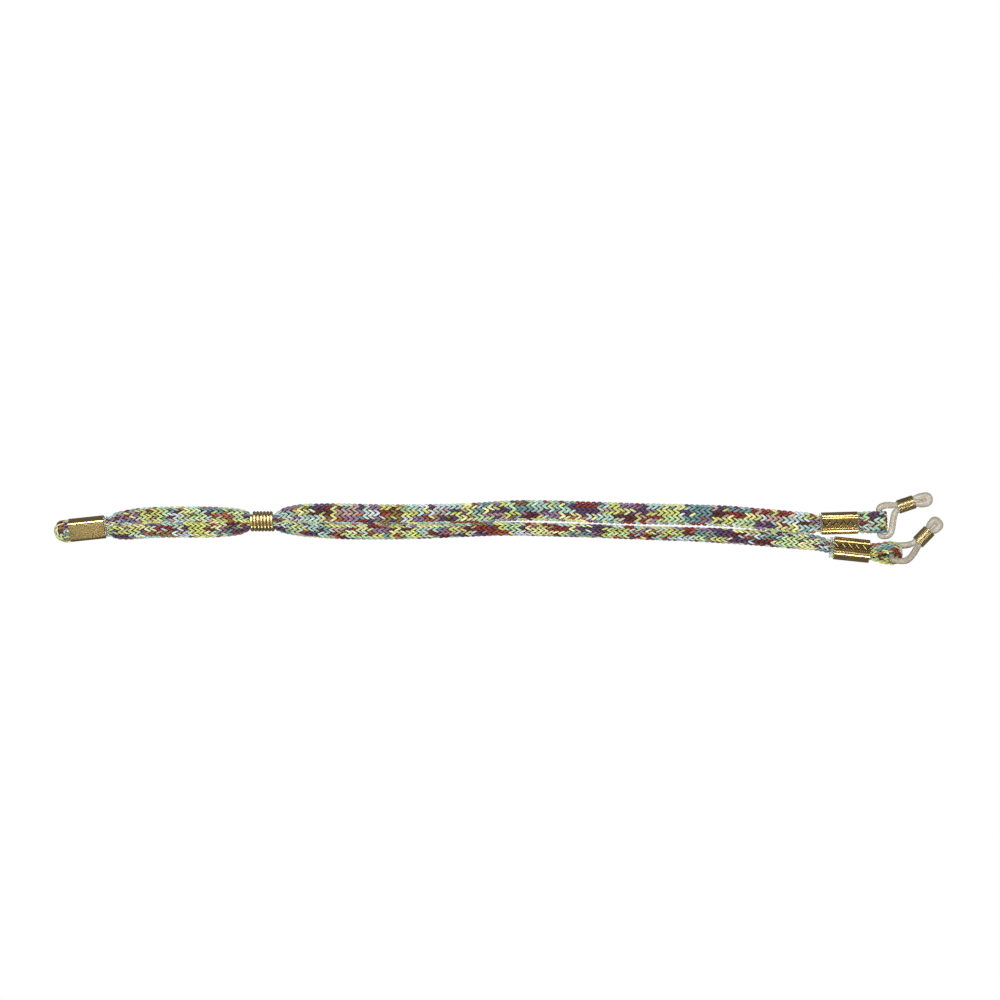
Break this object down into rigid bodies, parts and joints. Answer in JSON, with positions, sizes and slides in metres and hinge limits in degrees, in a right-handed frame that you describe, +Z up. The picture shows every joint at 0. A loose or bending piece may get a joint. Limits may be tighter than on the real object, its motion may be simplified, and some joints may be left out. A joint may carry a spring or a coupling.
{
  "type": "eyeglass retainer strap",
  "caption": "Flat tubular-knit cord strap folded double, with brass crimps, a sliding adjuster coil and two silicone temple rings with cinching coils.",
  "frame": {"origin": "on the table, under the middle of the whole strap as it lies stored", "axes": "+X along the strap from the tail crimp towards the temple rings, +Z up off the table, +Y across the strap"},
  "size_m": [0.3194, 0.0272, 0.0094],
  "materials": {
    "knit_cord": "space-dyed flat tubular knit in yellow-green, pale aqua, mauve, maroon and orange-brown yarn",
    "crimp_brass": "bright bent brass-plated sheet, lightly worn",
    "clear_liner": "thin clear plastic sleeve",
    "adjuster_wire": "close-wound brass-plated wire, satin",
    "silicone": "clear silicone gone milky, soft gloss",
    "coil_wire": "fine close-wound wire, dull antique brass"
  },
  "bodies": {
    "strap": {"cord_tail_loop": "knit_cord", "cord_back_upper": "knit_cord", "cord_back_lower": "knit_cord", "cord_neck": "knit_cord", "cord_upper_strand": "knit_cord", "cord_lower_strand": "knit_cord", "cord_upper_loop": "knit_cord", "cord_lower_loop": "knit_cord", "tail_crimp": "crimp_brass", "upper_end_crimp": "crimp_brass", "lower_end_crimp": "crimp_brass", "tail_liner": "clear_liner", "upper_end_liner": "clear_liner", "lower_end_liner": "clear_liner"},
    "slider": {"adjuster_coil": "adjuster_wire"},
    "upper_ring": {"upper_temple_ring": "silicone"},
    "lower_ring": {"lower_temple_ring": "silicone"},
    "upper_coil": {"upper_ring_coil": "coil_wire"},
    "lower_coil": {"lower_ring_coil": "coil_wire"}
  },
  "joints": [
    {"name": "adjuster_slide", "type": "slide", "parent": "strap", "child": "slider", "axis": [1, 0, 0], "range_m": [-0.02, 0.045], "deforming": ["cord_back_upper", "cord_back_lower", "cord_upper_strand", "cord_lower_strand"]},
    {"name": "upper_ring_swing", "type": "hinge", "parent": "strap", "child": "upper_ring", "pos_m": [0.13659, 0.00307, 0.00293], "axis": [0.0279, -0.9996, 0], "range_deg": [0, 130]},
    {"name": "lower_ring_swing", "type": "hinge", "parent": "strap", "child": "lower_ring", "pos_m": [0.14074, -0.0081, 0.00469], "axis": [-0.0644, -0.6123, 0.788], "range_deg": [0, 70]},
    {"name": "upper_coil_slide", "type": "slide", "parent": "upper_ring", "child": "upper_coil", "axis": [0.9478, 0.3189, 0], "range_m": [-0.003, 0.002], "deforming": ["upper_temple_ring"]},
    {"name": "lower_coil_slide", "type": "slide", "parent": "lower_ring", "child": "lower_coil", "axis": [0.7001, 0.7141, 0], "range_m": [-0.003, 0.002], "deforming": ["lower_temple_ring"]}
  ]
}
